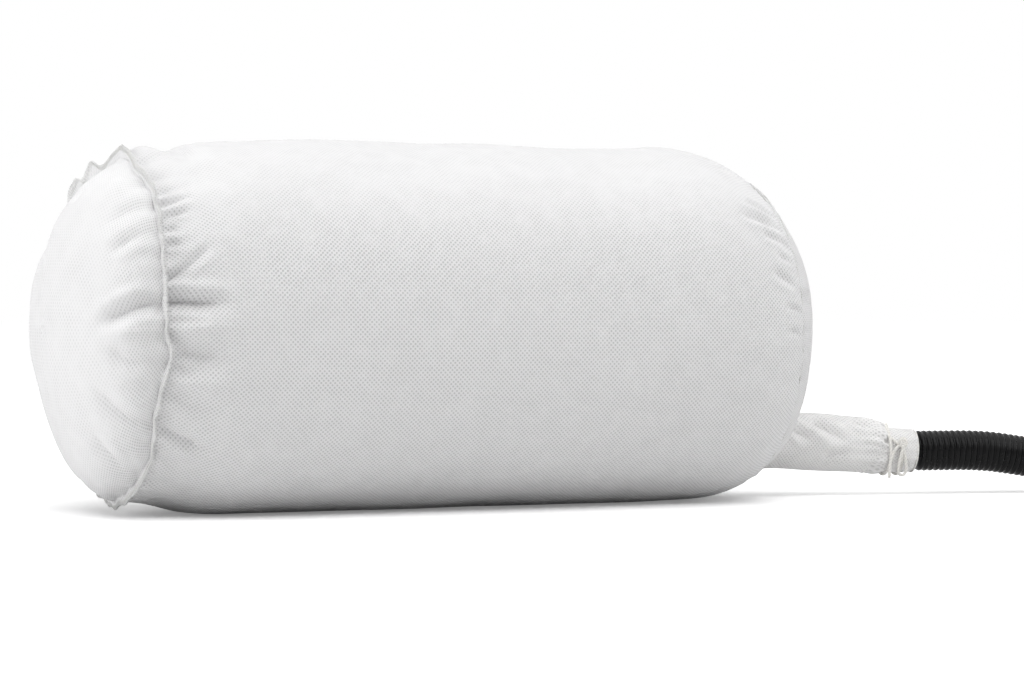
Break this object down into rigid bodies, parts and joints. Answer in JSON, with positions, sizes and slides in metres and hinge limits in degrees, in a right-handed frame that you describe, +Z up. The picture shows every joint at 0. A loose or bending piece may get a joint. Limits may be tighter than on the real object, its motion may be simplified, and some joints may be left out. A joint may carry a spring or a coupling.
{
  "type": "dust collection bag with hose",
  "caption": "Inflated cloth dust collection bag lying on its side, with a tied neck, a black corrugated suction hose put away in a coil, and a swivel tool cuff.",
  "frame": {"origin": "on the floor, in the middle of the patch that the bag rests on", "axes": "+X along the bag towards its neck and hose, -Y the bag's front, +Z up"},
  "size_m": [1.5325, 0.429, 0.3375],
  "materials": {
    "white_nonwoven": "matt spunbond cloth with a fine embossed dot grid",
    "seam_thread": "overlock stitching",
    "cream_cord": "twisted cotton cord",
    "black_hose": "glossy ribbed plastic",
    "black_cuff": "satin moulded plastic",
    "black_strap": "woven strap"
  },
  "bodies": {
    "bag": {"side_panel": "white_nonwoven", "lengthwise_seam": "white_nonwoven", "closed_end_panel": "white_nonwoven", "closed_end_overlock": "seam_thread", "inlet_end_panel": "white_nonwoven", "inlet_end_overlock": "seam_thread", "neck_sleeve": "white_nonwoven", "neck_root_overlock": "seam_thread", "neck_hem": "white_nonwoven"},
    "tie": {"tie_cord_wraps": "cream_cord", "tie_cord_knot": "cream_cord", "tie_cord_bow": "cream_cord", "tie_cord_tail": "cream_cord"},
    "hose": {"hose_stub": "black_hose", "hose_run": "black_hose", "hose_coil": "black_hose", "hose_top_run": "black_hose", "coil_strap": "black_strap", "hose_end_collar": "black_cuff"},
    "cuff": {"swivel_cuff": "black_cuff"}
  },
  "joints": [
    {"name": "hose_pull", "type": "slide", "parent": "bag", "child": "hose", "axis": [0.977, -0.213, 0], "range_m": [0, 0.1]},
    {"name": "tie_slip", "type": "slide", "parent": "bag", "child": "tie", "axis": [0.977, -0.213, 0], "range_m": [0, 0.035]},
    {"name": "cuff_swivel", "type": "hinge", "parent": "hose", "child": "cuff", "pos_m": [1.135, 0, 0.0669], "axis": [0, 1, 0], "continuous": true}
  ]
}
